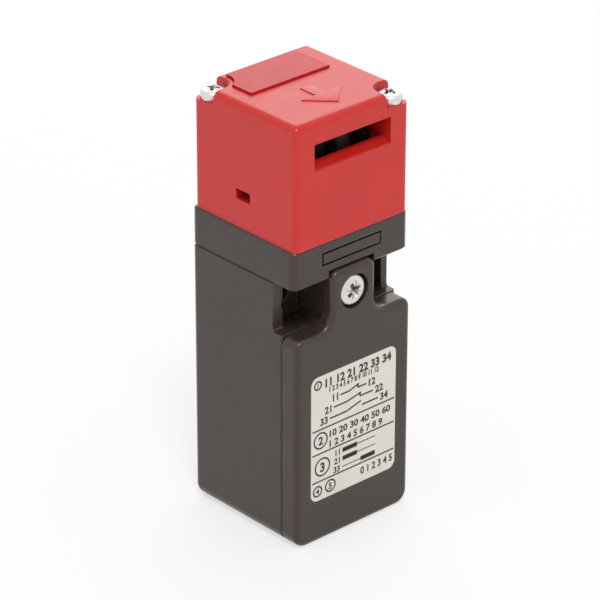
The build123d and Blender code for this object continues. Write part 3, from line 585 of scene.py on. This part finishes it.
def lead_in(name, side):
    """Slope along the slot's floor (side -1) or roof (side 1), which guides a key into the wheel."""
    slot_edge = KEY_SLOT_MIDDLE + side * KEY_SLOT_HEIGHT / 2
    inner = LEAD_IN_START + LEAD_IN_LENGTH
    outline = [(LEAD_IN_START, -SINK), (inner, -SINK), (inner, LEAD_IN_RISE - LEAD_IN_NOSE)]
    steps = 6
    for i in range(1, steps + 1):
        angle = (math.pi / 2) * i / steps
        outline.append((inner - LEAD_IN_NOSE * (1 - math.cos(angle)),
                        LEAD_IN_RISE - LEAD_IN_NOSE * (1 - math.sin(angle))))
    bm = bmesh.new()
    ends = []
    for x in (-KEY_SLOT_WIDTH / 2, KEY_SLOT_WIDTH / 2):
        ends.append([bm.verts.new((x, head_low.y + depth, slot_edge - side * rise))
                     for depth, rise in outline])
    first, second = ends
    bm.faces.new(first)
    bm.faces.new(list(reversed(second)))
    for i in range(len(outline)):
        k = (i + 1) % len(outline)
        bm.faces.new((first[i], first[k], second[k], second[i]))
    bmesh.ops.recalc_face_normals(bm, faces=bm.faces)
    item = take_material(object_from_bmesh(name, bm, 30), materials["red_plastic"])
    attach(item, "housing")


lead_in("key_slot_lower_lead_in", -1)
lead_in("key_slot_upper_lead_in", 1)


# Gate mark

gate_turned = revolve(bmesh.new(), [(r * MM, z * MM) for r, z in GATE_PROFILE], 40)
gate_mark = object_from_bmesh("gate_mark", gate_turned)
cover_low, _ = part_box("front_cover")
gate_mark.matrix_basis = (Matrix.Translation((GATE_X, cover_low.y + GATE_SINK, GATE_Z))
                          @ Matrix.Rotation(math.radians(90), 4, "X"))
take_material(gate_mark, materials["black_plastic"])
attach(gate_mark, "housing")


# Label print


def text_mesh(text, height, bold):
    """Plain characters as a flat mesh, with their left end at the origin."""
    curve = bpy.data.curves.new("characters", "FONT")
    curve.body = text
    curve.size = height * 1.38
    curve.offset = height * bold
    curve.resolution_u = 3
    carrier = new_object("characters", curve)
    bpy.context.view_layer.update()
    evaluated = carrier.evaluated_get(bpy.context.evaluated_depsgraph_get())
    mesh = bpy.data.meshes.new_from_object(evaluated)
    bpy.data.objects.remove(carrier)
    return mesh


class Print:
    """Flat print in the plane of the label: x to the right and y up from its lower left corner."""

    def __init__(self):
        self.bm = bmesh.new()

    def bar(self, x0, y0, x1, y1, thick):
        start, end = Vector((x0, y0)), Vector((x1, y1))
        along = (end - start).normalized()
        side = Vector((-along.y, along.x)) * thick / 2
        corners = [start - side, end - side, end + side, start + side]
        self.bm.faces.new([self.bm.verts.new((c.x * MM, c.y * MM, 0)) for c in corners])

    def ring(self, x, y, radius, thick, segments=20):
        for i in range(segments):
            a, b = (2 * math.pi * k / segments for k in (i, i + 1))
            points = [(radius, a), (radius, b), (radius - thick, b), (radius - thick, a)]
            self.bm.faces.new([self.bm.verts.new(((x + r * math.cos(t)) * MM, (y + r * math.sin(t)) * MM, 0))
                               for r, t in points])

    def text(self, x, y, text, height, bold, stretch=1.0):
        mesh = text_mesh(text, height * MM, bold)
        mesh.transform(Matrix.Translation((x * MM, y * MM, 0)) @ Matrix.Diagonal((stretch, 1, 1, 1)))
        self.bm.from_mesh(mesh)

    def ends(self, text, height, bold):
        """Left and right end of characters that are placed at 0."""
        places = [v.co.x / MM for v in text_mesh(text, height * MM, bold).vertices]
        return min(places), max(places)

    def row(self, x0, x1, y, text, height, bold=BOLD):
        """Characters between two ends, with their middle at y."""
        left, right = self.ends(text, height, bold)
        stretch = (x1 - x0) / (right - left)
        self.text(x0 - left * stretch, y - height / 2, text, height, bold, stretch)

    def number(self, x, y, text, height, side):
        """Plain number at its own width, which ends (side -1), centres (0) or starts (1) at x."""
        left, right = self.ends(text, height, BOLD)
        anchor = {-1: right, 0: (left + right) / 2, 1: left}[side]
        self.text(x - anchor, y - height / 2, text, height, BOLD)

    def contact(self, x0, x1, y, numbers, closed, height):
        """Contact symbol: two terminals with their plain numbers and a bar between them."""
        wide = height * 1.45
        self.number(x0 + wide, y, numbers[0], height, -1)
        self.number(x1 - wide, y, numbers[1], height, 1)
        left, right = x0 + wide + 0.6, x1 - wide - 0.6
        third = (right - left) / 3
        self.bar(left, y, left + third, y, LINE)
        self.bar(right - third, y, right, y, LINE)
        if closed:
            self.bar(left + third, y, right - third + 0.3, y + 0.75, LINE)
            self.bar(right - third, y, right - third, y + 0.9, LINE)
        else:
            self.bar(left + third, y, right - third - 0.3, y + 1.0, LINE)

    def numbered_ring(self, x, y, radius, number):
        self.ring(x, y, radius, LINE)
        self.number(x, y, number, radius * 0.95, 0)


label_low, label_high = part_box("label_plate")
label_width = (label_high.x - label_low.x) / MM
rule_margin = 0.35
sheet = Print()
for level in (4.38, 10.76, 16.25):
    sheet.bar(rule_margin, level, label_width - rule_margin, level, RULE)
sheet.row(3.8, 21.9, 26.4, "11 12 21 22 33 34", 1.85, 0.06)
sheet.row(4.9, 18.4, 24.6, "1 2 3 4 5 6 7 8 9 10 11 12", 1.15, 0.06)
sheet.numbered_ring(1.8, 26.5, 1.1, "1")
sheet.contact(5.0, 18.0, 22.3, ("11", "12"), True, 1.6)
sheet.contact(3.2, 19.8, 20.1, ("21", "22"), True, 1.6)
sheet.contact(2.2, 21.2, 17.9, ("33", "34"), False, 1.6)
sheet.numbered_ring(2.6, 13.7, 1.95, "2")
sheet.row(5.0, 21.8, 14.4, "10 20 30 40 50 60", 1.5)
sheet.row(5.0, 19.6, 12.1, "1 2 3 4 5 6 7 8 9", 1.5)
sheet.numbered_ring(3.1, 7.5, 2.15, "3")
for level, number, start, stop in ((9.3, "11", 8.6, 12.6), (7.4, "21", 8.6, 12.6), (5.5, "33", 13.6, 17.6)):
    sheet.number(7.9, level, number, 1.35, -1)
    sheet.bar(8.6, level, 17.6, level, TRAVEL_LINE)
    sheet.bar(start, level, stop, level, TRAVEL_BAR)
sheet.numbered_ring(1.8, 2.2, 1.3, "4")
sheet.numbered_ring(5.3, 2.35, 1.5, "5")
sheet.row(13.6, 22.5, 2.6, "0 1 2 3 4 5", 1.6)
print_piece = object_from_bmesh("label_print", sheet.bm)
print_piece.matrix_basis = (Matrix.Translation((label_low.x, label_low.y - PRINT_RISE, label_low.z))
                            @ Matrix.Rotation(math.radians(90), 4, "X"))
take_material(print_piece, materials["ink"])
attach(print_piece, "housing")


# Floor, light and camera


def make_floor():
    bm = bmesh.new()
    bmesh.ops.create_circle(bm, cap_ends=True, radius=FLOOR_RADIUS, segments=96)
    floor = object_from_bmesh("floor", bm)
    g = Graph("pale_floor")
    g.shader.inputs["Base Color"].default_value = (FLOOR_WHITE, FLOOR_WHITE, FLOOR_WHITE, 1)
    g.shader.inputs["Roughness"].default_value = 0.9
    g.shader.inputs["Specular IOR Level"].default_value = 0.0
    glow = g.add("ShaderNodeEmission")
    path = g.add("ShaderNodeLightPath")
    seen = g.math("MAXIMUM", path.outputs["Is Camera Ray"], path.outputs["Is Glossy Ray"])
    seen = g.math("MAXIMUM", seen, path.outputs["Is Transmission Ray"])
    share = g.math("MULTIPLY", seen, FLOOR_GLOW)
    blend = g.add("ShaderNodeMixShader")
    g.link(share, blend.inputs[0])
    g.link(g.shader.outputs[0], blend.inputs[1])
    g.link(glow.outputs[0], blend.inputs[2])
    g.link(blend.outputs[0], g.tree.nodes["Material Output"].inputs["Surface"])
    take_material(floor, g.material)


def make_world():
    world = bpy.data.worlds.new("studio")
    bpy.context.scene.world = world
    world.use_nodes = True
    tree = world.node_tree
    background = tree.nodes["Background"]
    background.inputs["Color"].default_value = (1.0, 1.0, 1.0, 1.0)
    path = tree.nodes.new("ShaderNodeLightPath")
    seen = path.outputs["Is Camera Ray"]
    for other in ("Is Glossy Ray", "Is Transmission Ray"):
        either = tree.nodes.new("ShaderNodeMath")
        either.operation = "MAXIMUM"
        tree.links.new(seen, either.inputs[0])
        tree.links.new(path.outputs[other], either.inputs[1])
        seen = either.outputs[0]
    level = tree.nodes.new("ShaderNodeMapRange")
    level.inputs["To Min"].default_value = AMBIENT
    level.inputs["To Max"].default_value = 1.0
    tree.links.new(seen, level.inputs["Value"])
    tree.links.new(level.outputs["Result"], background.inputs["Strength"])


def area_light(name, place, size, power):
    lamp = bpy.data.lights.new(name, "AREA")
    lamp.shape = "RECTANGLE"
    lamp.size, lamp.size_y = size
    lamp.energy = power
    item = new_object(name, lamp)
    item.location = place
    item.rotation_euler = (Vector(LIGHT_TARGET) - Vector(place)).to_track_quat("-Z", "Y").to_euler()


def make_camera():
    azimuth = math.radians(CAMERA_AZIMUTH)
    elevation = math.radians(CAMERA_ELEVATION)
    level_reach = math.cos(elevation)
    back = Vector((math.sin(azimuth) * level_reach, -math.cos(azimuth) * level_reach, math.sin(elevation)))
    level_right = Vector((0, 0, 1)).cross(back).normalized()
    level_up = back.cross(level_right)
    roll = math.radians(CAMERA_ROLL)
    right = math.cos(roll) * level_right + math.sin(roll) * level_up
    up = math.cos(roll) * level_up - math.sin(roll) * level_right
    data = bpy.data.cameras.new("camera")
    data.sensor_fit = "HORIZONTAL"
    data.sensor_width = SENSOR_WIDTH
    data.lens = FOCAL_PIXELS * SENSOR_WIDTH / IMAGE_WIDTH
    data.clip_start = CLIP_START
    data.clip_end = CLIP_END
    camera = new_object("camera", data)
    turn = Matrix((right, up, back)).transposed().to_4x4()
    camera.matrix_world = Matrix.Translation(CAMERA_TARGET + back * CAMERA_DISTANCE) @ turn
    bpy.context.scene.camera = camera


make_floor()
make_world()
area_light("key", KEY_PLACE, KEY_SIZE, KEY_POWER)
area_light("back_light", BACK_PLACE, BACK_SIZE, BACK_POWER)
make_camera()
bpy.context.scene.view_settings.view_transform = "Standard"
